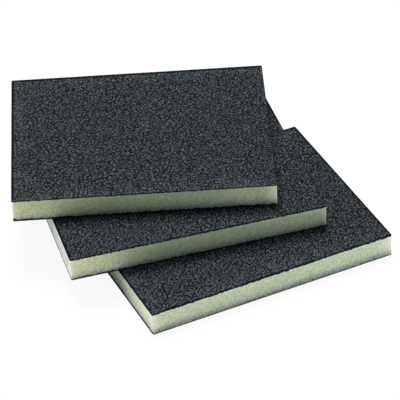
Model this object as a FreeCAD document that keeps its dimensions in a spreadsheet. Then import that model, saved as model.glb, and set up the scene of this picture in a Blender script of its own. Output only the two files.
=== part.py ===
import FreeCAD, Part
import Sketcher
import os

# Three double-sided foam sanding pads, lying loose on one another and fanned out.
#
# Each pad is a sheet of polyurethane foam that is coated on both faces and then cut to size, so
# all five layers share one outline. From the underside up they are: abrasive grit, the resin bond
# that holds it, the foam core, a second bond and a second coat of grit.
#
# Millimetres and degrees. The origin is the centre of the lower pad's underside. +Z is up, +X runs
# along the lower pad's long side and +Y from its front edge to its back edge.

OUT_FOLDER = "parts"

# The driving dimensions. Each becomes a cell of the sheet, with its name as the alias.
SIZES = {
    # one pad's outline
    "pad_length": 120.0,
    "pad_width": 96.0,
    "corner_radius": 0.8,
    # the layers of one pad
    "foam_thickness": 10.7,
    "bond_thickness": 0.1,
    "grit_thickness": 0.3,
    # how each pad is fanned out from the one below: its centre's move along +X and +Y, and its
    # turn about +Z
    "middle_pad_along": -14.7,
    "middle_pad_back": 28.6,
    "middle_pad_turn": -9.2,
    "upper_pad_along": -4.5,
    "upper_pad_back": 21.6,
    "upper_pad_turn": -13.4,
}

# A pad's layers from the underside up: the sub-part's name and the cell with its thickness.
LAYERS = [
    ("bottom_grit_coat", "grit_thickness"),
    ("bottom_bond_coat", "bond_thickness"),
    ("foam_core", "foam_thickness"),
    ("top_bond_coat", "bond_thickness"),
    ("top_grit_coat", "grit_thickness"),
]

# The pads from the table up. The lower one lies square on the axes.
PADS = ["lower_pad", "middle_pad", "upper_pad"]


def cell(name):
    """A cell of the sheet, as an expression."""
    return f"Sizes.{name}"


def total(cells):
    """The sum of some cells, as an expression."""
    return " + ".join(cell(name) for name in cells) or "0"


def make_sheet(doc):
    """The spreadsheet that holds every driving dimension."""
    sheet = doc.addObject("Spreadsheet::Sheet", "Sizes")
    for row, (name, value) in enumerate(SIZES.items(), start=1):
        sheet.set(f"A{row}", name)
        sheet.set(f"B{row}", str(value))
        sheet.setAlias(f"B{row}", name)
    doc.recompute()
    return sheet


def base_plane(body):
    """The body's own XY plane."""
    for feature in body.Origin.OriginFeatures:
        if feature.Role == "XY_Plane":
            return feature
    raise RuntimeError(f"{body.Name} has no XY plane")


def outline_sketch(body, cells_below):
    """A rectangle of the pad's length and width about the body's origin, on top of the layers below."""
    sketch = body.newObject("Sketcher::SketchObject", body.Name + "_outline")
    sketch.AttachmentSupport = (base_plane(body), [""])
    sketch.MapMode = "FlatFace"
    sketch.setExpression(".AttachmentOffset.Base.z", total(cells_below))

    half_length = SIZES["pad_length"] / 2
    half_width = SIZES["pad_width"] / 2
    corners = [
        FreeCAD.Vector(-half_length, -half_width, 0),
        FreeCAD.Vector(half_length, -half_width, 0),
        FreeCAD.Vector(half_length, half_width, 0),
        FreeCAD.Vector(-half_length, half_width, 0),
    ]
    start, end = 1, 2
    front, right, back, left = range(4)
    for corner, following in zip(corners, corners[1:] + corners[:1]):
        sketch.addGeometry(Part.LineSegment(corner, following), False)
    for side in (front, right, back, left):
        sketch.addConstraint(Sketcher.Constraint("Coincident", side, end, (side + 1) % 4, start))
    for side in (front, back):
        sketch.addConstraint(Sketcher.Constraint("Horizontal", side))
    for side in (right, left):
        sketch.addConstraint(Sketcher.Constraint("Vertical", side))
    origin = (-1, 1)
    sketch.addConstraint(Sketcher.Constraint("Symmetric", front, start, right, end, *origin))
    long_side = sketch.addConstraint(
        Sketcher.Constraint("DistanceX", front, start, front, end, SIZES["pad_length"])
    )
    short_side = sketch.addConstraint(
        Sketcher.Constraint("DistanceY", right, start, right, end, SIZES["pad_width"])
    )
    sketch.setExpression(f"Constraints[{long_side}]", cell("pad_length"))
    sketch.setExpression(f"Constraints[{short_side}]", cell("pad_width"))
    return sketch


def upright_edges(shape):
    """The names of the edges that run straight up."""
    names = []
    for number, edge in enumerate(shape.Edges, start=1):
        if abs(edge.tangentAt(edge.FirstParameter).z) > 0.999:
            names.append(f"Edge{number}")
    return names


def make_layer(doc, pad, layer, thickness, cells_below):
    """One layer of one pad: a padded rectangle with its four upright corners rounded."""
    body = doc.addObject("PartDesign::Body", f"{pad}_{layer}")
    body.Label = f"{pad}_{layer}"
    sketch = outline_sketch(body, cells_below)

    slab = body.newObject("PartDesign::Pad", body.Name + "_slab")
    slab.Profile = sketch
    slab.setExpression("Length", cell(thickness))
    doc.recompute()

    rounding = body.newObject("PartDesign::Fillet", body.Name + "_corners")
    rounding.Base = (slab, upright_edges(slab.Shape))
    rounding.setExpression("Radius", cell("corner_radius"))
    body.Tip = rounding
    doc.recompute()
    return body


def place_in_stack(body, pad):
    """Lays a layer's body where its pad lies: on the pads below it, moved and turned with them."""
    pads_below = PADS.index(pad)
    pad_thickness = total(thickness for _, thickness in LAYERS)
    fanned = PADS[1:pads_below + 1]
    body.setExpression(".Placement.Base.x", total(f"{name}_along" for name in fanned))
    body.setExpression(".Placement.Base.y", total(f"{name}_back" for name in fanned))
    body.setExpression(".Placement.Base.z", f"{pads_below} * ({pad_thickness})")
    body.setExpression(".Placement.Rotation.Angle", total(f"{name}_turn" for name in fanned))


def make_pad(doc, pad):
    """The five layers of one pad, each a body of its own, face to face."""
    bodies = []
    cells_below = []
    for layer, thickness in LAYERS:
        body = make_layer(doc, pad, layer, thickness, cells_below)
        place_in_stack(body, pad)
        bodies.append(body)
        cells_below.append(thickness)
    return bodies


def check(doc, bodies):
    """Stops the build if an object failed or a sub-part isn't one good solid."""
    for thing in doc.Objects:
        if "Invalid" in thing.State or "Error" in thing.State:
            raise RuntimeError(f"{thing.Label} failed: {thing.State}")
    for body in bodies:
        if body.Shape.isNull() or not body.Shape.isValid() or len(body.Shape.Solids) != 1:
            raise RuntimeError(f"{body.Label} isn't one valid solid")


def main():
    doc = FreeCAD.newDocument("SandingPads")
    make_sheet(doc)
    bodies = [body for pad in PADS for body in make_pad(doc, pad)]
    doc.recompute()
    check(doc, bodies)
    os.makedirs(OUT_FOLDER, exist_ok=True)
    for body in bodies:
        body.Shape.exportStep(os.path.join(OUT_FOLDER, body.Label + ".step"))
        box = body.Shape.BoundBox
        print(f"{body.Label}: volume {body.Shape.Volume:.1f}, from z {box.ZMin:.2f} to {box.ZMax:.2f}")


main()
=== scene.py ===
import math

import bpy
import numpy as np
from mathutils import Matrix, Vector


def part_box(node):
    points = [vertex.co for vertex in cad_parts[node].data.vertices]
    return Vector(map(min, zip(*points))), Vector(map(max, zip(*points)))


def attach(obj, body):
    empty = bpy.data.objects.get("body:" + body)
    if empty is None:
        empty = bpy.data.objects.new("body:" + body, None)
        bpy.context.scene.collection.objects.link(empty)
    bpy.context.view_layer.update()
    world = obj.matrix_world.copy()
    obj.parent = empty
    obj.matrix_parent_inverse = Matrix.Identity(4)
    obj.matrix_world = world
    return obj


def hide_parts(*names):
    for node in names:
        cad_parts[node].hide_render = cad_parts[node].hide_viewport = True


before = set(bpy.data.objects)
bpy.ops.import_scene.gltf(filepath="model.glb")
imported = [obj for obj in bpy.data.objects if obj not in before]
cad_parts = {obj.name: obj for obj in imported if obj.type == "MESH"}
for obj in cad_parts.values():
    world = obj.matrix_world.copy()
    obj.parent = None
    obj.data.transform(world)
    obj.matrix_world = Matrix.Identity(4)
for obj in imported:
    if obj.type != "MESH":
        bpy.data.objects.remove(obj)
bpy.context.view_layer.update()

# Three double-sided foam sanding pads, fanned out on a pale floor. Lengths are in metres, unless a
# comment says that they are in millimetres.
#
# The foam cores and the grit coats are modelled here; the thin resin coats between them stay as
# packed. A foam core is built in its pad's own frame: origin at the centre of the pad's underside,
# +X along its long side, +Z up. A grit coat's origin lies on its resin coat, and the bottom one is
# turned over about X, so that +Z points out of the pad on both faces.

MM = 0.001
PADS = ["lower_pad", "middle_pad", "upper_pad"]
CORNER_RADIUS = 0.8 * MM     # of a pad's outline, as in the CAD

# ---------------------------------------------------------------- places, from the CAD solids

UPRIGHT_NORMAL = 0.1     # an upright face's normal rises less than this


def vertices_of(node):
    """A CAD node's vertices at rest."""
    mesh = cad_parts[node].data
    flat = np.empty(3 * len(mesh.vertices))
    mesh.vertices.foreach_get("co", flat)
    return flat.reshape(-1, 3)


class Pad:
    """Where a pad lies and how large it is, read from its CAD solids."""

    def __init__(self, name):
        self.name = name
        upright = [
            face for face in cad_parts[f"{name}_foam_core"].data.polygons
            if abs(face.normal.z) < UPRIGHT_NORMAL
        ]
        long_side = max(upright, key=lambda face: face.area)
        along = np.array([long_side.normal.y, -long_side.normal.x])
        along = along * np.sign(along[0])
        across = np.array([-along[1], along[0]])
        plan = vertices_of(f"{name}_foam_core")[:, :2]
        self.length = np.ptp(plan @ along)
        self.width = np.ptp(plan @ across)

        lowest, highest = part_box(f"{name}_foam_core")
        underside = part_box(f"{name}_bottom_grit_coat")[0].z
        self.matrix = Matrix.Translation(
            ((lowest.x + highest.x) / 2, (lowest.y + highest.y) / 2, underside)
        ) @ Matrix.Rotation(math.atan2(along[1], along[0]), 4, "Z")
        self.foam_bottom = lowest.z - underside
        self.foam_top = highest.z - underside

    def heights(self, node):
        """The lowest and highest point of one of the pad's nodes, above the pad's underside."""
        lowest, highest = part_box(f"{self.name}_{node}")
        underside = self.matrix.translation.z
        return lowest.z - underside, highest.z - underside


# ---------------------------------------------------------------- meshes

TINY = 1e-12             # keeps a division away from zero


def mesh_object(name, points, faces):
    """A flat-shaded mesh object: points (n, 3), and a list of face arrays (m, corners)."""
    mesh = bpy.data.meshes.new(name)
    mesh.vertices.add(len(points))
    mesh.vertices.foreach_set("co", np.ascontiguousarray(points, dtype=np.float32).ravel())
    corners = np.concatenate([part.ravel() for part in faces])
    sizes = np.concatenate([np.full(len(part), part.shape[1]) for part in faces])
    mesh.loops.add(len(corners))
    mesh.loops.foreach_set("vertex_index", corners.astype(np.int32))
    mesh.polygons.add(len(sizes))
    starts = np.concatenate([[0], np.cumsum(sizes)[:-1]])
    mesh.polygons.foreach_set("loop_start", starts.astype(np.int32))
    mesh.polygons.foreach_set("use_smooth", np.zeros(len(sizes), dtype=bool))
    mesh.update(calc_edges=True)
    mesh.validate()
    piece = bpy.data.objects.new(name, mesh)
    bpy.context.scene.collection.objects.link(piece)
    return piece


def inside_outline(points, length, width):
    """Moves points in plan that lie outside the pad's outline, with its rounded corners, onto it."""
    core = np.array([length / 2 - CORNER_RADIUS, width / 2 - CORNER_RADIUS])
    signs = np.where(points < 0, -1.0, 1.0)
    beyond = np.maximum(np.abs(points) - core, 0)
    reach = np.linalg.norm(beyond, axis=-1, keepdims=True)
    shrink = np.minimum(1, CORNER_RADIUS / np.maximum(reach, TINY))
    return signs * (np.minimum(np.abs(points), core) + beyond * shrink)


# The abrasive: grains bedded in resin. The tallest reach the coat's full height.
GRIT_PITCH = 0.42 * MM
GRIT_SHIFT = 0.36        # how far a mesh point strays from the grid, in pitches
GRIT_JAG = 0.10 * MM     # how far the cut edge strays inwards
RESIN_HEIGHT = 0.30      # the resin between grains, as a share of the coat's thickness
RESIN_RIPPLE = 0.12      # how far it strays from that height, as such a share

# Each size of grain: spacing, least and greatest radius, least and greatest height (as a share of
# the coat's thickness), and how many degrees its grid is turned, so that no row follows a side.
GRAIN_SIZES = [
    (1.15 * MM, 0.37 * MM, 0.51 * MM, 0.80, 1.00, 34),
    (0.70 * MM, 0.24 * MM, 0.37 * MM, 0.40, 0.75, 61),
]
GRAIN_SHIFT = 0.36       # how far a grain strays from its place in the grid, in spacings

# The cut has stripped the grain along some edges and left a rim of bare resin. For each side: the
# rim's width in millimetres, and the share of the side at which it begins, counted from the left
# for the front and the back, and from the front for the left and the right.
RIMS = {
    "lower_pad": {"front": (0.75, 0), "back": (1.2, 0), "left": (0.75, 0), "right": (0.75, 0)},
    "middle_pad": {"front": (0.30, 0), "back": (1.2, 0), "left": (0.85, 0), "right": (0.75, 0.68)},
    "upper_pad": {"front": (0.1, 0), "back": (1.55, 0), "left": (0.95, 0), "right": (0.0, 0)},
}
RIM_TAPER = 0.04         # the share of its side over which a rim widens from nothing
RIM_FADE = 0.35 * MM     # how far in from a rim the grains stand at full height again
RIM_HEIGHT = 0.5         # the bare resin of a rim, as a share of the coat's thickness

# A grit coat's +Y runs to the back on the top coat, and to the front on the turned bottom one.
OUTWARDS = {"bottom": -1, "top": 1}


def grain_heights(plan, random):
    """How high the grit stands at each point of the plan, as a share of the coat's thickness."""
    heights = RESIN_HEIGHT + RESIN_RIPPLE * random.uniform(-1, 1, plan.shape[:-1])
    for spacing, least_radius, most_radius, least_height, most_height, turn in GRAIN_SIZES:
        cosine, sine = math.cos(math.radians(turn)), math.sin(math.radians(turn))
        place = plan @ np.array([[cosine, -sine], [sine, cosine]])
        start = place.min(axis=(0, 1))
        # One more row of grains surrounds the plan, so that each point has all its neighbours.
        cell = np.floor((place - start) / spacing).astype(int) + 1
        size = tuple(cell.max(axis=(0, 1)) + 2)
        centres = np.stack(np.meshgrid(*map(np.arange, size), indexing="ij"), axis=-1) - 0.5
        centres = (centres + random.uniform(-GRAIN_SHIFT, GRAIN_SHIFT, centres.shape)) * spacing
        centres = centres + start
        radii = random.uniform(least_radius, most_radius, size)
        tops = random.uniform(least_height, most_height, size)
        for step_x in (-1, 0, 1):
            for step_y in (-1, 0, 1):
                near = (cell[..., 0] + step_x, cell[..., 1] + step_y)
                distance = np.linalg.norm(place - centres[near], axis=-1) / radii[near]
                dome = np.sqrt(np.clip(1 - distance ** 2, 0, 1))
                heights = np.maximum(heights, tops[near] * dome)
    return heights


def grit_plan(pad, random):
    """The coat's mesh points in plan: a grid whose points stray, and a jagged cut edge."""
    columns = round(pad.length / GRIT_PITCH)
    rows = round(pad.width / GRIT_PITCH)
    step = np.array([pad.length / columns, pad.width / rows])
    column, row = np.meshgrid(np.arange(columns + 1), np.arange(rows + 1), indexing="ij")
    plan = np.stack([column, row], axis=-1) * step - [pad.length / 2, pad.width / 2]
    on_side = np.stack([(column == 0) | (column == columns), (row == 0) | (row == rows)], axis=-1)

    stray = random.uniform(-GRIT_SHIFT, GRIT_SHIFT, plan.shape) * step
    plan = plan + np.where(on_side, 0, stray)
    jag = random.uniform(0, GRIT_JAG, plan.shape[:-1])[..., None]
    jag = jag * np.where(on_side, -np.sign(plan), 0)
    return inside_outline(plan, pad.length, pad.width) + jag


def grained_share(pad, outwards, plan):
    """Where the grain stands: 0 on the bare rims, 1 away from them."""
    from_left = plan[..., 0] + pad.length / 2
    from_front = pad.width / 2 + outwards * plan[..., 1]
    share_x, share_y = from_left / pad.length, from_front / pad.width
    inwards = {
        "front": (from_front, share_x),
        "back": (pad.width - from_front, share_x),
        "left": (from_left, share_y),
        "right": (pad.length - from_left, share_y),
    }
    grained = np.ones(plan.shape[:-1])
    for name, (distance, share) in inwards.items():
        width, start = RIMS[pad.name][name]
        width_here = width * MM * np.clip((share - start) / RIM_TAPER, 0, 1)
        grained = np.minimum(grained, np.clip((distance - width_here) / RIM_FADE, 0, 1))
    return grained


def grit_coat(pad, side, seed):
    """One coat of abrasive as a closed relief: grains on the outer face, a jagged cut rim."""
    random = np.random.default_rng(seed)
    low, high = pad.heights(f"{side}_grit_coat")
    plan = grit_plan(pad, random)
    grained = grained_share(pad, OUTWARDS[side], plan)
    height = RIM_HEIGHT + grained * (grain_heights(plan, random) - RIM_HEIGHT)
    height = (high - low) * height

    number = np.arange(height.size).reshape(height.shape)
    quads = np.stack([number[:-1, :-1], number[1:, :-1], number[1:, 1:], number[:-1, 1:]], axis=-1)
    loop = np.concatenate([number[:-1, 0], number[-1, :-1], number[:0:-1, -1], number[0, :0:-1]])
    foot = height.size + np.arange(len(loop))
    wall = np.stack([loop, foot, np.roll(foot, -1), np.roll(loop, -1)], axis=-1)
    middle = height.size + len(loop)
    back = np.stack([foot, np.full(len(loop), middle), np.roll(foot, -1)], axis=-1)

    top = np.concatenate([plan.reshape(-1, 2), height.reshape(-1, 1)], axis=1)
    under = np.column_stack([top[loop, :2], np.zeros(len(loop))])
    points = np.concatenate([top, under, [[0, 0, 0]]])
    piece = mesh_object(f"{pad.name}_{side}_grit", points, [quads.reshape(-1, 4), wall, back])
    if side == "top":
        piece.matrix_world = pad.matrix @ Matrix.Translation((0, 0, low))
    else:
        turned_over = Matrix.Rotation(math.pi, 4, "X")
        piece.matrix_world = pad.matrix @ Matrix.Translation((0, 0, high)) @ turned_over
    return piece


# The foam: a flat-cut core whose cut faces show the open cells.
FOAM_PITCH = 0.4 * MM
PORE_DEPTH = 0.10 * MM   # the deepest cut cell
WAVE_DEPTH = 0.10 * MM   # how far the cut wanders from a true plane
WAVES = 5                # how many waves, each shorter and lower, make up that wander
WAVE_TURNS = 3           # how many turns the longest makes round the outline
WAVE_RISE = 0.5          # and how many half turns over the foam's height
# The pores' depths follow a beta distribution of this shape, in which most are shallow.
PORE_SPREAD = (1.2, 3.0)


def outline_loop(length, width, pitch):
    """Points round the pad's outline with rounded corners, and each one's outward direction."""
    core_x, core_y = length / 2 - CORNER_RADIUS, width / 2 - CORNER_RADIUS
    corners = [
        (core_x, -core_y, -90),
        (core_x, core_y, 0),
        (-core_x, core_y, 90),
        (-core_x, -core_y, 180),
    ]
    arc_steps = math.ceil(CORNER_RADIUS * math.pi / 2 / pitch) + 1
    points, outward = [], []
    for (x, y, turn), following in zip(corners, corners[1:] + corners[:1]):
        for angle in np.radians(np.linspace(turn, turn + 90, arc_steps + 1)):
            away = np.array([math.cos(angle), math.sin(angle)])
            points.append(np.array([x, y]) + CORNER_RADIUS * away)
            outward.append(away)
        start = points[-1]
        end = np.array(following[:2]) + CORNER_RADIUS * outward[-1]
        side_steps = round(np.linalg.norm(end - start) / pitch)
        for share in np.arange(1, side_steps) / side_steps:
            points.append(start + share * (end - start))
            outward.append(outward[-1])
    return np.array(points), np.array(outward)


def foam_core(pad, seed):
    """The foam core as a closed mesh: flat faces under the coats, porous cut sides."""
    random = np.random.default_rng(seed)
    outline, outward = outline_loop(pad.length, pad.width, FOAM_PITCH)
    count = len(outline)
    levels = round((pad.foam_top - pad.foam_bottom) / FOAM_PITCH)
    heights = np.linspace(pad.foam_bottom, pad.foam_top, levels + 1)

    around = np.arange(count) / count * 2 * math.pi
    up = np.linspace(0, math.pi, levels + 1)[:, None]
    wander = np.zeros((levels + 1, count))
    for wave in range(1, WAVES + 1):
        phase = random.uniform(0, 2 * math.pi, 2)
        level_wave = np.sin(WAVE_TURNS * wave * around + phase[0])
        wander += level_wave * np.sin(up * wave * WAVE_RISE + phase[1]) / wave
    wander = (wander - wander.min()) / np.ptp(wander)
    pores = random.beta(*PORE_SPREAD, (levels + 1, count))
    inset = WAVE_DEPTH * wander + PORE_DEPTH * pores
    ring = outline[None] - inset[..., None] * outward[None]
    level_heights = np.broadcast_to(heights[:, None, None], (levels + 1, count, 1))
    wall_points = np.concatenate([ring, level_heights], axis=-1).reshape(-1, 3)

    number = np.arange((levels + 1) * count).reshape(levels + 1, count)
    following = np.roll(number, -1, axis=1)
    wall = np.stack([number[:-1], following[:-1], following[1:], number[1:]], axis=-1)
    bottom_middle = number.size
    top_middle = number.size + 1
    bottom = np.stack([following[0], number[0], np.full(count, bottom_middle)], axis=-1)
    top = np.stack([number[-1], following[-1], np.full(count, top_middle)], axis=-1)
    middles = [[0, 0, heights[0]], [0, 0, heights[-1]]]
    points = np.concatenate([wall_points, middles])
    piece = mesh_object(f"{pad.name}_foam", points, [wall.reshape(-1, 4), bottom, top])
    piece.matrix_world = pad.matrix
    return piece


# ---------------------------------------------------------------- materials

HALF_BLEND = 1 * MM      # how far to each side a value of one half of a pad blends into the other's

# Parts of a smooth noise's range, which lies about 0.5. A narrower one gives harder patches.
WIDE = (0.30, 0.70)
MEDIUM = (0.35, 0.65)
NARROW = (0.38, 0.62)
NARROWEST = (0.40, 0.60)


class Nodes:
    """A new material's node tree, with short calls to add and join nodes."""

    def __init__(self, name):
        self.material = bpy.data.materials.new(name)
        self.material.use_nodes = True
        self.tree = self.material.node_tree
        self.shader = self.tree.nodes["Principled BSDF"]

    def add(self, kind, inputs=None, **settings):
        """Adds a node; each input is a value or another node's output."""
        node = self.tree.nodes.new(kind)
        for setting, value in settings.items():
            setattr(node, setting, value)
        for socket, value in (inputs or {}).items():
            self.give(node.inputs[socket], value)
        return node

    def give(self, socket, value):
        """Sets a socket to a value, or joins another node's output to it."""
        if isinstance(value, bpy.types.NodeSocket):
            self.tree.links.new(value, socket)
        else:
            socket.default_value = value

    def math(self, operation, *values, clamp=False):
        """The result of one operation on up to three values."""
        inputs = dict(enumerate(values))
        return self.add("ShaderNodeMath", inputs, operation=operation, use_clamp=clamp).outputs[0]

    def vector(self, operation, first, second):
        """The result of one operation on two vectors or colours."""
        inputs = {0: first, 1: second}
        return self.add("ShaderNodeVectorMath", inputs, operation=operation).outputs[0]

    def span(self, value, start, end, to_start=0.0, to_end=1.0):
        """value from start..end to to_start..to_end, held at the ends."""
        inputs = {0: value, 1: start, 2: end, 3: to_start, 4: to_end}
        return self.add("ShaderNodeMapRange", inputs).outputs[0]

    def halves(self, coordinate, negative, positive):
        """One value where the coordinate is negative and another where it is positive."""
        return self.span(coordinate, -HALF_BLEND, HALF_BLEND, negative, positive)

    def blend(self, amount, first, second):
        """A colour between first and second."""
        node = self.tree.nodes.new("ShaderNodeMix")
        node.data_type = "RGBA"
        self.give(node.inputs[0], amount)
        self.give(node.inputs[6], first)
        self.give(node.inputs[7], second)
        return node.outputs[2]

    def noise(self, position, size, detail=2.0):
        """Smooth noise from about 0 to 1 with blobs of this size."""
        inputs = {"Vector": position, "Scale": 1 / size, "Detail": detail}
        return self.add("ShaderNodeTexNoise", inputs).outputs["Fac"]

    def ramp(self, place, stops):
        """A colour by place, from 0 to 1, between the given (place, colour) stops."""
        node = self.add("ShaderNodeValToRGB", {0: place})
        while len(node.color_ramp.elements) < len(stops):
            node.color_ramp.elements.new(0.5)
        for element, (position, colour) in zip(node.color_ramp.elements, stops):
            element.position = position
            element.color = colour
        return node.outputs[0]

    def bump(self, height, strength, distance):
        """Gives the shader small bumps of this height."""
        inputs = {"Strength": strength, "Distance": distance, "Height": height}
        node = self.add("ShaderNodeBump", inputs)
        self.give(self.shader.inputs["Normal"], node.outputs[0])


def shifted_position(nodes, shift):
    """The piece's own coordinates, and the same ones moved so that each piece has its own pattern."""
    position = nodes.add("ShaderNodeTexCoord").outputs["Object"]
    return position, nodes.vector("ADD", position, (shift, -shift, shift / 2))


# The grit's colours, from the hollows to the tips, and the lightness at which each shows.
RESIN_BLACK = (0.0028, 0.0037, 0.0044, 1)
GRAIN_DARK = (0.0050, 0.0066, 0.0080, 1)
GRAIN_MIDDLE = (0.0365, 0.0440, 0.0509, 1)
GRAIN_LIGHT = (0.1070, 0.1215, 0.1340, 1)
GRIT_STOPS = [(0.0, RESIN_BLACK), (0.24, GRAIN_DARK), (0.50, GRAIN_MIDDLE), (1.0, GRAIN_LIGHT)]
# What a point's lightness is made of: its height between these shares of the coat's thickness, a
# shade for each little cell and a fine texture, each with its weight.
TIP_HEIGHTS = (0.30, 0.95)
TIP_WEIGHT = 0.85
SHADE_CELL = 0.9 * MM
SHADE_WEIGHT = 0.08
FINE_SIZE = 0.3 * MM
FINE_WEIGHT = 0.10
# Soft patches have less or more contrast about the mean, which is then moved to the level.
PATCH_SIZE = 3.5 * MM
PATCH_CONTRAST = (0.78, 1.55)
LIGHTNESS_MEAN = 0.48
LIGHTNESS_LEVEL = 0.493
# The grain is lighter beside every edge but the right one: how far in the lightening thins out from,
# how far in it ends, and how much lightness it adds.
EDGE_LIGHTENING_REACH = (1 * MM, 10 * MM)
EDGE_LIGHTENING = {"lower_pad": 0.10, "middle_pad": 0.03, "upper_pad": 0.085}
# The dark of a bare rim is chipped: its width varies between these shares of what RIMS says.
CHIP_SIZE = 1.8 * MM
RIM_CHIPS = {"front": (0.3, 1.9), "back": (0.8, 1.2), "left": (0.8, 1.2), "right": (0.8, 1.2)}
# The grit is rougher in its dark hollows than on its light tips.
GRIT_SHINE_RANGE = (0.2, 0.8)
GRIT_ROUGHNESS = (0.8, 0.5)
GRIT_SPECULAR = 0.08
GRIT_BUMP = (0.4, 0.05 * MM)


def rim_shading(nodes, pad, side, position, moved):
    """Where the grain stands, from 0 on the bare rims to 1, and the distance to an edge where it is
    lighter.
    """
    axes = nodes.add("ShaderNodeSeparateXYZ", {0: position}).outputs
    from_left = nodes.math("ADD", axes["X"], pad.length / 2)
    from_front = nodes.math("MULTIPLY_ADD", axes["Y"], OUTWARDS[side], pad.width / 2)
    share_x = nodes.math("DIVIDE", from_left, pad.length)
    share_y = nodes.math("DIVIDE", from_front, pad.width)
    inwards = {
        "front": (from_front, share_x),
        "back": (nodes.math("SUBTRACT", pad.width, from_front), share_x),
        "left": (from_left, share_y),
        "right": (nodes.math("SUBTRACT", pad.length, from_left), share_y),
    }
    grained = 1.0
    to_lightened_edge = 1.0
    chips = nodes.noise(moved, CHIP_SIZE, detail=1.0)
    for name, (distance, share) in inwards.items():
        width, start = RIMS[pad.name][name]
        width_here = nodes.span(share, start, start + RIM_TAPER, 0.0, width * MM)
        chipped = nodes.span(chips, *NARROW, *RIM_CHIPS[name])
        width_here = nodes.math("MULTIPLY", width_here, chipped)
        grained_here = nodes.math("DIVIDE", nodes.math("SUBTRACT", distance, width_here), RIM_FADE)
        grained = nodes.math("MINIMUM", grained, grained_here)
        if name != "right":
            to_lightened_edge = nodes.math("MINIMUM", to_lightened_edge, distance)
    return nodes.math("MAXIMUM", grained, 0.0), to_lightened_edge


def grit_material(pad, side, shift):
    """Charcoal grain: black resin in the hollows, lighter tips, each grain its own shade."""
    nodes = Nodes(f"{pad.name}_{side}_grit")
    position, moved = shifted_position(nodes, shift)
    grained, to_lightened_edge = rim_shading(nodes, pad, side, position, moved)

    low, high = pad.heights(f"{side}_grit_coat")
    foot, peak = (share * (high - low) for share in TIP_HEIGHTS)
    height = nodes.add("ShaderNodeSeparateXYZ", {0: position}).outputs["Z"]
    tip = nodes.span(height, foot, peak)
    cells = nodes.add("ShaderNodeTexVoronoi", {"Vector": moved, "Scale": 1 / SHADE_CELL})
    shade = nodes.add("ShaderNodeSeparateColor", {0: cells.outputs["Color"]}).outputs[0]
    fine = nodes.noise(moved, FINE_SIZE, detail=1.0)
    patches = nodes.noise(moved, PATCH_SIZE, detail=1.0)

    lightness = nodes.math("MULTIPLY", shade, SHADE_WEIGHT)
    lightness = nodes.math("MULTIPLY_ADD", tip, TIP_WEIGHT, lightness)
    lightness = nodes.math("MULTIPLY_ADD", nodes.span(fine, *WIDE), FINE_WEIGHT, lightness)
    contrast = nodes.span(patches, *NARROW, *PATCH_CONTRAST)
    lightness = nodes.math("SUBTRACT", lightness, LIGHTNESS_MEAN)
    lightness = nodes.math("MULTIPLY_ADD", lightness, contrast, LIGHTNESS_LEVEL)
    edge_lightening = nodes.span(to_lightened_edge, *EDGE_LIGHTENING_REACH, EDGE_LIGHTENING[pad.name], 0.0)
    lightness = nodes.math("ADD", lightness, edge_lightening)
    lightness = nodes.math("MULTIPLY", lightness, grained)

    nodes.give(nodes.shader.inputs["Base Color"], nodes.ramp(lightness, GRIT_STOPS))
    roughness = nodes.span(lightness, *GRIT_SHINE_RANGE, *GRIT_ROUGHNESS)
    nodes.give(nodes.shader.inputs["Roughness"], roughness)
    nodes.shader.inputs["Specular IOR Level"].default_value = GRIT_SPECULAR
    nodes.bump(fine, *GRIT_BUMP)
    return nodes.material


# Each pad's foam along its long side: a place, as a share of the length from the left end, and the
# colour there. It is creamiest at the left ends and paler or greener to the right. These colours
# hold painted light and shade: lighter where the white floor lights the foam, darker where the grit
# beside it and the pads above shade it.
FOAM_COLOURS_AND_SHADING = {
    "lower_pad": [
        (0.05, (0.72, 0.80, 0.56, 1)), (0.25, (0.67, 0.76, 0.55, 1)),
        (0.60, (0.66, 0.76, 0.54, 1)), (0.92, (0.68, 0.79, 0.57, 1)),
    ],
    "middle_pad": [
        (0.05, (0.80, 0.85, 0.50, 1)), (0.18, (0.66, 0.74, 0.51, 1)),
        (0.33, (0.51, 0.64, 0.42, 1)), (0.92, (0.58, 0.70, 0.50, 1)),
    ],
    "upper_pad": [
        (0.04, (0.76, 0.81, 0.46, 1)), (0.18, (0.60, 0.69, 0.42, 1)),
        (0.42, (0.51, 0.63, 0.42, 1)), (0.78, (0.53, 0.64, 0.42, 1)),
        (0.92, (0.65, 0.74, 0.48, 1)), (0.98, (0.74, 0.88, 0.56, 1)),
    ],
}
# The same for the left end, with the place as a share of the width from the front. These hold
# painted light and shade too: lighter towards the front, and on the lower pad darker where the middle
# pad shades its end.
FOAM_ENDS_AND_SHADING = {
    "lower_pad": [
        (0.08, (0.80, 0.84, 0.66, 1)), (0.35, (0.59, 0.63, 0.48, 1)),
        (0.60, (0.64, 0.71, 0.53, 1)),
    ],
    "middle_pad": [
        (0.05, (0.74, 0.76, 0.67, 1)), (0.35, (0.72, 0.75, 0.66, 1)),
        (0.80, (0.66, 0.72, 0.56, 1)),
    ],
    "upper_pad": [(0.05, (0.73, 0.78, 0.60, 1)), (0.60, (0.64, 0.71, 0.53, 1))],
}
TINT_PATCH = 14 * MM     # a patch of this size takes the colour of a place to its left or right,
TINT_WANDER = 0.04       # up to this share of the length away
# The back half keeps clear of the left ends' painted light, as the lamps light the back well.
BACK_PLACE = 0.5         # the back half takes no colour from the left of this place
END_FACE = (0.2 * MM, 0.5 * MM)      # between these depths a cut end gives way to the long sides
# The foam is yellower between its faces than at them. Its blue, as a multiple of the palette's: at
# the faces, what it loses by these depths below the top and above the bottom, whichever is less, and
# what it loses in a blotch.
BLUE_AT_FACES = 1.20
BLUE_LOST_INSIDE = 0.24
YELLOWING_DEPTHS = (5.0 * MM, 7.2 * MM)
BLUE_LOST_IN_BLOTCH = 0.07
BLOTCH_SIZE = 3.0 * MM
BLOTCH_STRETCH = (0.35, 0.35, 1.0)   # less than 1 makes a blotch that much longer

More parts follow.
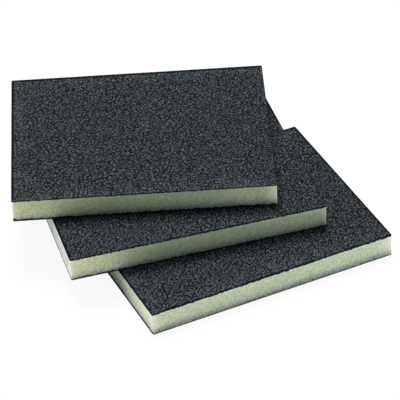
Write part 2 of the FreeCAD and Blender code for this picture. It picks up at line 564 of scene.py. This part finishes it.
# The open cells, mixed with upright streaks from the cut.
CELL_SIZE = 0.9 * MM
CELL_WEIGHT = 0.85
CELL_LIGHTNESS = (1.06, 0.84)        # of a cell's wall and of its hollow
STREAK_SIZE = 0.7 * MM
STREAK_STRETCH = (1.0, 1.0, 0.3)
STREAK_WEIGHT = 0.15

# Abrasive dust greys the foam low down, together with painted shade at the foot of each pad. It
# reaches this far above the bottom, from streak to streak.
DUST_AND_SHADE_GREY = (0.29, 0.33, 0.33, 1)
DUST_AND_SHADE_REACH = (3.0 * MM, 6.0 * MM)
DUST_AND_SHADE_THINNING = 1.3                  # the power by which it thins out upwards
DUST_AND_SHADE_IN_CELLS = (0.7, 1.0)           # how much of it shows on a cell's wall and in its hollow
# How many times as far up it reaches on the cut ends, at the front and from ONE_THIRD_BACK on. On
# the lower pad the growth to the back is painted shade, where the middle pad shades its end.
END_DUST_AND_SHADE = {"lower_pad": (1.3, 2.2), "middle_pad": (0.35, 0.35), "upper_pad": (1.0, 1.0)}
ONE_THIRD_BACK = 0.35                # a share of the width, from the front
# How many times as far up it reaches near the right end, and the places between which that grows.
# This growth is painted shade, low on the upper pad's front.
RIGHT_PAINTED_SHADE = {"lower_pad": 1.0, "middle_pad": 1.0, "upper_pad": 1.5}
RIGHT_PAINTED_SHADE_PLACES = (0.62, 0.86)

# A painted highlight, pale beside the upright corners. For the left and the right front corner: the
# strength of the highlight and its reach in millimetres.
CORNER_HIGHLIGHT = (0.96, 0.98, 0.86, 1)
CORNER_HIGHLIGHTS = {
    "lower_pad": ((0.80, 5.0), (0.95, 8.5)),
    "middle_pad": ((0.90, 5.0), (0.50, 3.5)),
    "upper_pad": ((0.85, 5.0), (0.90, 7.0)),
}
HIGHLIGHT_THINNING = 1.4                 # the power by which it thins out away from the corner
HIGHLIGHT_AT_BACK = 0.2                  # the share of it that the corners of the back half have
HIGHLIGHT_AT_BOTTOM = 0.35               # the share of it that is left at the bottom
HIGHLIGHT_CLEAR = 4.0 * MM               # how far above the bottom all of it shows

# Single grains sit in the foam, most of them low down. One shows where a noise is above a limit,
# which rises from the bottom up to FLECK_HEIGHT.
# This dark also paints the soaked resin and the painted shade at the foam's foot.
DARK_OF_FLECKS_SOAK_AND_SHADE = (0.030, 0.036, 0.038, 1)
FLECK_SIZE = 0.6 * MM
FLECK_LIMITS = (0.56, 0.78)
FLECK_HEIGHT = 4.5 * MM
FLECK_STRENGTH = 0.75

# How far resin has soaked into the foam, in millimetres: least and greatest, from the top coat, and
# from the bottom coat on the long sides and on the cut ends. The dark from the bottom coat is partly
# painted shade at the foot of the foam: deepest on the upper and middle pads, which lie on dark grit,
# and at the back of the lower pad's end, under the middle pad.
TOP_SOAK = {"lower_pad": (0.0, 0.55), "middle_pad": (0.0, 0.50), "upper_pad": (0.0, 0.35)}
BOTTOM_SOAK_AND_SHADE = {"lower_pad": (0.0, 0.30), "middle_pad": (0.30, 0.95), "upper_pad": (0.55, 1.20)}
END_SOAK_AND_SHADE = {"lower_pad": (0.7, 1.3), "middle_pad": (0.0, 0.2), "upper_pad": (0.0, 0.6)}
END_SOAK_AND_SHADE_GROWTH = 1.7                # how many times as deep it is on the ends from ONE_THIRD_BACK on
SOAK_RAGGEDNESS = 1.3 * MM           # the size of a ragged noise, which the depth grows with
TOP_SOAK_RANGE = (0.42, 0.65)        # between these values of it
BOTTOM_SOAK_AND_SHADE_RANGE = (0.35, 0.65)

FOAM_ROUGHNESS = 0.9
FOAM_SPECULAR = 0.15
FOAM_BUMP = (0.5, 0.08 * MM)


class FoamPoint:
    """Where a point of a pad's foam is, and the noises that its looks share, as node outputs."""

    def __init__(self, nodes, pad, shift):
        position, self.moved = shifted_position(nodes, shift)
        axes = nodes.add("ShaderNodeSeparateXYZ", {0: position}).outputs
        self.x, self.y = axes["X"], axes["Y"]
        self.below_top = nodes.math("SUBTRACT", pad.foam_top, axes["Z"])
        self.above_bottom = nodes.math("SUBTRACT", axes["Z"], pad.foam_bottom)
        self.to_end = nodes.math("SUBTRACT", pad.length / 2, nodes.math("ABSOLUTE", self.x))
        self.to_side = nodes.math("SUBTRACT", pad.width / 2, nodes.math("ABSOLUTE", self.y))
        self.from_front = nodes.math("ADD", nodes.math("DIVIDE", self.y, pad.width), 0.5)
        # 1 on a cut end, 0 on a long side
        self.on_end = nodes.span(self.to_end, *END_FACE, 1.0, 0.0)

        self.cells = nodes.noise(self.moved, CELL_SIZE)
        upright = nodes.vector("MULTIPLY", self.moved, STREAK_STRETCH)
        self.streaks = nodes.noise(upright, STREAK_SIZE, detail=1.0)

        # the place in the foam's palette of colour and painted light and shade
        from_left = nodes.math("ADD", self.x, pad.length / 2)
        place = nodes.math("DIVIDE", from_left, pad.length)
        patches = nodes.span(nodes.noise(self.moved, TINT_PATCH), *MEDIUM)
        place = nodes.math("ADD", place, nodes.span(patches, 0.0, 1.0, -TINT_WANDER, TINT_WANDER))
        self.palette_place = nodes.math("MAXIMUM", place, nodes.halves(self.y, 0.0, BACK_PLACE))


def foam_colour_and_shading(nodes, pad, point):
    """The foam's colour with painted light and shade: its palette along the pad and on the left end,
    yellowed inside.
    """
    colour = nodes.ramp(point.palette_place, FOAM_COLOURS_AND_SHADING[pad.name])
    left_end = nodes.math("MULTIPLY", point.on_end, nodes.halves(point.x, 1.0, 0.0))
    end_colour_and_shading = nodes.ramp(point.from_front, FOAM_ENDS_AND_SHADING[pad.name])
    colour = nodes.blend(left_end, colour, end_colour_and_shading)

    sideways = nodes.vector("MULTIPLY", point.moved, BLOTCH_STRETCH)
    blotches = nodes.span(nodes.noise(sideways, BLOTCH_SIZE), *WIDE)
    from_top, from_bottom = YELLOWING_DEPTHS
    inside = nodes.math(
        "MINIMUM",
        nodes.math("DIVIDE", point.below_top, from_top),
        nodes.math("DIVIDE", point.above_bottom, from_bottom),
    )
    blue = nodes.math("MULTIPLY_ADD", inside, -BLUE_LOST_INSIDE, BLUE_AT_FACES)
    blue = nodes.math("MULTIPLY_ADD", blotches, -BLUE_LOST_IN_BLOTCH, blue)
    yellowing = nodes.add("ShaderNodeCombineXYZ", {0: 1.0, 1: 1.0, 2: blue})
    return nodes.vector("MULTIPLY", colour, yellowing.outputs[0])


def with_cells(nodes, point, colour):
    """The colour, darker in the open cells."""
    pits = nodes.math("MULTIPLY", point.streaks, STREAK_WEIGHT)
    pits = nodes.math("MULTIPLY_ADD", point.cells, CELL_WEIGHT, pits)
    shade = nodes.span(pits, *NARROWEST, *CELL_LIGHTNESS)
    inputs = {0: colour, "Scale": shade}
    return nodes.add("ShaderNodeVectorMath", inputs, operation="SCALE").outputs[0]


def with_dust_and_shade(nodes, pad, point, colour):
    """The colour, greyed low down by abrasive grit and by painted shade at the foot of the foam."""
    reach = nodes.span(point.streaks, *WIDE, *DUST_AND_SHADE_REACH)
    right_shade_growth = nodes.span(point.palette_place, *RIGHT_PAINTED_SHADE_PLACES, 1.0, RIGHT_PAINTED_SHADE[pad.name])
    reach = nodes.math("MULTIPLY", reach, right_shade_growth)
    end_growth = nodes.span(point.from_front, 0.0, ONE_THIRD_BACK, *END_DUST_AND_SHADE[pad.name])
    end_growth = nodes.math("SUBTRACT", end_growth, 1.0)
    end_growth = nodes.math("MULTIPLY_ADD", point.on_end, end_growth, 1.0)
    reach = nodes.math("MULTIPLY", reach, end_growth)

    height = nodes.math("DIVIDE", point.above_bottom, reach)
    dust_and_shade = nodes.math("SUBTRACT", 1.0, height, clamp=True)
    dust_and_shade = nodes.math("POWER", dust_and_shade, DUST_AND_SHADE_THINNING)
    dust_and_shade = nodes.math("MULTIPLY", dust_and_shade, nodes.span(point.cells, *WIDE, *DUST_AND_SHADE_IN_CELLS))
    return nodes.blend(dust_and_shade, colour, DUST_AND_SHADE_GREY)


def with_corner_highlights(nodes, pad, point, colour):
    """The colour, with a painted highlight beside the upright corners."""
    (left_strength, left_reach), (right_strength, right_reach) = CORNER_HIGHLIGHTS[pad.name]
    reach = nodes.halves(point.x, left_reach * MM, right_reach * MM)
    highlight = nodes.math("DIVIDE", nodes.math("MAXIMUM", point.to_end, point.to_side), reach)
    highlight = nodes.math("SUBTRACT", 1.0, highlight, clamp=True)
    highlight = nodes.math("POWER", highlight, HIGHLIGHT_THINNING)
    shares = [
        nodes.halves(point.x, left_strength, right_strength),
        nodes.halves(point.y, 1.0, HIGHLIGHT_AT_BACK),
        nodes.span(point.above_bottom, 0.0, HIGHLIGHT_CLEAR, HIGHLIGHT_AT_BOTTOM, 1.0),
    ]
    for share in shares:
        highlight = nodes.math("MULTIPLY", highlight, share)
    return nodes.blend(highlight, colour, CORNER_HIGHLIGHT)


def with_flecks(nodes, point, colour):
    """The colour, flecked with single dark grains."""
    grains = nodes.noise(point.moved, FLECK_SIZE, detail=1.0)
    limit = nodes.span(point.above_bottom, 0.0, FLECK_HEIGHT, *FLECK_LIMITS)
    flecked = nodes.math("GREATER_THAN", grains, limit)
    return nodes.blend(nodes.math("MULTIPLY", flecked, FLECK_STRENGTH), colour, DARK_OF_FLECKS_SOAK_AND_SHADE)


def with_soak_and_shade(nodes, pad, point, colour):
    """The colour, with ragged dark borders beside the coats: resin soaked into the foam, and at the
    bottom partly painted shade.
    """
    ragged = nodes.noise(point.moved, SOAK_RAGGEDNESS, detail=3.0)
    from_top, on_sides, on_ends = (
        nodes.span(ragged, *noise_range, *(depth * MM for depth in soak_and_shade[pad.name]))
        for soak_and_shade, noise_range in (
            (TOP_SOAK, TOP_SOAK_RANGE),
            (BOTTOM_SOAK_AND_SHADE, BOTTOM_SOAK_AND_SHADE_RANGE),
            (END_SOAK_AND_SHADE, BOTTOM_SOAK_AND_SHADE_RANGE),
        )
    )
    growth = nodes.span(point.from_front, 0.0, ONE_THIRD_BACK, 1.0, END_SOAK_AND_SHADE_GROWTH)
    on_ends = nodes.math("MULTIPLY", on_ends, growth)
    more_on_ends = nodes.math("SUBTRACT", on_ends, on_sides)
    from_bottom = nodes.math("MULTIPLY_ADD", point.on_end, more_on_ends, on_sides)
    top_soaked = nodes.math("LESS_THAN", point.below_top, from_top)
    bottom_soak_and_shade = nodes.math("LESS_THAN", point.above_bottom, from_bottom)
    return nodes.blend(nodes.math("MAXIMUM", top_soaked, bottom_soak_and_shade), colour, DARK_OF_FLECKS_SOAK_AND_SHADE)


def foam_material(pad, shift):
    """Pale foam with painted light and shade, cream to green in soft patches, greyed and flecked low
    down by abrasive grit, with painted shade at its foot and painted highlights at its corners.
    """
    nodes = Nodes(f"{pad.name}_foam")
    point = FoamPoint(nodes, pad, shift)
    colour = foam_colour_and_shading(nodes, pad, point)
    colour = with_cells(nodes, point, colour)
    colour = with_dust_and_shade(nodes, pad, point, colour)
    colour = with_corner_highlights(nodes, pad, point, colour)
    colour = with_flecks(nodes, point, colour)
    colour = with_soak_and_shade(nodes, pad, point, colour)
    nodes.give(nodes.shader.inputs["Base Color"], colour)
    nodes.shader.inputs["Roughness"].default_value = FOAM_ROUGHNESS
    nodes.shader.inputs["Specular IOR Level"].default_value = FOAM_SPECULAR
    nodes.bump(point.cells, *FOAM_BUMP)
    return nodes.material


BOND_MOTTLE = 0.5 * MM
BOND_ROUGHNESS = 0.6


def bond_material():
    """Cured resin under the grain, seen only as a thin dark line."""
    nodes = Nodes("bond_resin")
    position = nodes.add("ShaderNodeTexCoord").outputs["Object"]
    mottle = nodes.noise(position, BOND_MOTTLE)
    nodes.give(nodes.shader.inputs["Base Color"], nodes.blend(mottle, RESIN_BLACK, GRAIN_DARK))
    nodes.shader.inputs["Roughness"].default_value = BOND_ROUGHNESS
    return nodes.material


# ---------------------------------------------------------------- the pads

PATTERN_SHIFT = 0.37     # between one pad's patterns and the next one's
FOAM_SEED = 10           # the lower pad's, from which the others count on
GRIT_SEED = 20           # its bottom coat's, likewise


def dress(obj, material):
    """Gives an object this one material."""
    obj.data.materials.clear()
    obj.data.materials.append(material)


bond = bond_material()
for index, pad_name in enumerate(PADS):
    pad = Pad(pad_name)
    pad_shift = PATTERN_SHIFT * (index + 1)
    foam = foam_core(pad, FOAM_SEED + index)
    dress(foam, foam_material(pad, pad_shift))
    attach(foam, pad_name)
    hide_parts(f"{pad_name}_foam_core")
    for number, side in enumerate(["bottom", "top"]):
        grit = grit_coat(pad, side, GRIT_SEED + 2 * index + number)
        dress(grit, grit_material(pad, side, pad_shift + number))
        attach(grit, pad_name)
        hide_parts(f"{pad_name}_{side}_grit_coat")
        for material_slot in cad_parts[f"{pad_name}_{side}_bond_coat"].material_slots:
            material_slot.material = bond

# ---------------------------------------------------------------- floor, light and camera

FLOOR_SIZE = 6.0
FLOOR_WHITE = (0.95, 0.95, 0.95, 1)
FLOOR_GLOW = 0.92        # the share of plain white in the floor, as the camera sees it
PURE_WHITE = (1, 1, 1, 1)
ROOM_LIGHT = 0.037


def seen_directly(nodes):
    """1 where a ray comes from the camera, a gloss or a clear material, 0 where it only lights."""
    path = nodes.add("ShaderNodeLightPath").outputs
    direct = nodes.math("MAXIMUM", path["Is Camera Ray"], path["Is Glossy Ray"])
    return nodes.math("MAXIMUM", direct, path["Is Transmission Ray"])


def floor():
    """A large pale floor that looks white and keeps a soft shadow."""
    half = FLOOR_SIZE / 2
    points = np.array([[-half, -half, 0], [half, -half, 0], [half, half, 0], [-half, half, 0]])
    plane = mesh_object("floor", points, [np.array([[0, 1, 2, 3]])])
    nodes = Nodes("floor_white")
    nodes.shader.inputs["Base Color"].default_value = FLOOR_WHITE
    nodes.shader.inputs["Roughness"].default_value = 1.0
    nodes.shader.inputs["Specular IOR Level"].default_value = 0.0
    glow = nodes.add("ShaderNodeEmission", {"Color": PURE_WHITE, "Strength": 1.0})
    amount = nodes.math("MULTIPLY", seen_directly(nodes), FLOOR_GLOW)
    inputs = {0: amount, 1: nodes.shader.outputs[0], 2: glow.outputs[0]}
    mixed = nodes.add("ShaderNodeMixShader", inputs)
    output = nodes.tree.nodes["Material Output"]
    nodes.give(output.inputs["Surface"], mixed.outputs[0])
    dress(plane, nodes.material)


def room_light(strength):
    """An even pale room of this strength; seen directly it is plain white."""
    world = bpy.data.worlds.new("room")
    bpy.context.scene.world = world
    world.use_nodes = True
    tree = world.node_tree
    background = tree.nodes["Background"]
    background.inputs["Color"].default_value = PURE_WHITE
    path = tree.nodes.new("ShaderNodeLightPath").outputs
    direct = tree.nodes.new("ShaderNodeMath")
    direct.operation = "MAXIMUM"
    tree.links.new(path["Is Camera Ray"], direct.inputs[0])
    tree.links.new(path["Is Transmission Ray"], direct.inputs[1])
    level = tree.nodes.new("ShaderNodeMapRange")
    tree.links.new(direct.outputs[0], level.inputs[0])
    level.inputs[3].default_value = strength
    level.inputs[4].default_value = 1.0
    tree.links.new(level.outputs[0], background.inputs["Strength"])


def direction(azimuth, elevation):
    """The unit vector that points away from the object; azimuth 0 is its front, along -Y."""
    turn, rise = math.radians(azimuth), math.radians(elevation)
    level = math.cos(rise)
    return Vector((math.sin(turn) * level, -math.cos(turn) * level, math.sin(rise)))


# The camera looks from the photograph's angle at a point on the floor under the set.
CAMERA_TARGET = Vector((0.84, 30.83, 0)) * MM
CAMERA_AZIMUTH = -24.07
CAMERA_ELEVATION = 37.28
CAMERA_DISTANCE = 1265.1 * MM
CAMERA_ROLL = -2.67
CAMERA_LENS = 242.65     # in millimetres, as the sensor's width
CAMERA_SENSOR = 36.0
CAMERA_CLIPPING = (0.01, 50)

# Each square lamp: its azimuth from the camera's, its elevation and its power in watts.
LAMPS = {
    "key": (195, 65, 32.5),
    "right_fill": (90, 35, 11.5),
    "left_fill": (270, 35, 8.6),
}
LAMP_DISTANCE = 1.6
LAMP_SIZE = 0.9


def softbox(name, azimuth, elevation, power):
    """A square soft white lamp that faces the camera's target."""
    data = bpy.data.lights.new(name, "AREA")
    data.shape = "SQUARE"
    data.size = LAMP_SIZE
    data.energy = power
    lamp = bpy.data.objects.new(name, data)
    away = direction(azimuth, elevation)
    lamp.location = CAMERA_TARGET + away * LAMP_DISTANCE
    lamp.rotation_mode = "QUATERNION"
    lamp.rotation_quaternion = away.to_track_quat("Z", "Y")
    bpy.context.scene.collection.objects.link(lamp)


def camera():
    """The scene's camera."""
    data = bpy.data.cameras.new("camera")
    data.sensor_width = CAMERA_SENSOR
    data.lens = CAMERA_LENS
    data.clip_start, data.clip_end = CAMERA_CLIPPING
    viewer = bpy.data.objects.new("camera", data)
    away = direction(CAMERA_AZIMUTH, CAMERA_ELEVATION)
    level = away.to_track_quat("Z", "Y").to_matrix().to_4x4()
    roll = Matrix.Rotation(math.radians(CAMERA_ROLL), 4, "Z")
    viewer.matrix_world = Matrix.Translation(CAMERA_TARGET + away * CAMERA_DISTANCE) @ level @ roll
    bpy.context.scene.collection.objects.link(viewer)
    bpy.context.scene.camera = viewer


floor()
room_light(ROOM_LIGHT)
for lamp_name, (from_camera, elevation, power) in LAMPS.items():
    softbox(lamp_name, CAMERA_AZIMUTH + from_camera, elevation, power)
camera()
bpy.context.scene.view_settings.view_transform = "Standard"
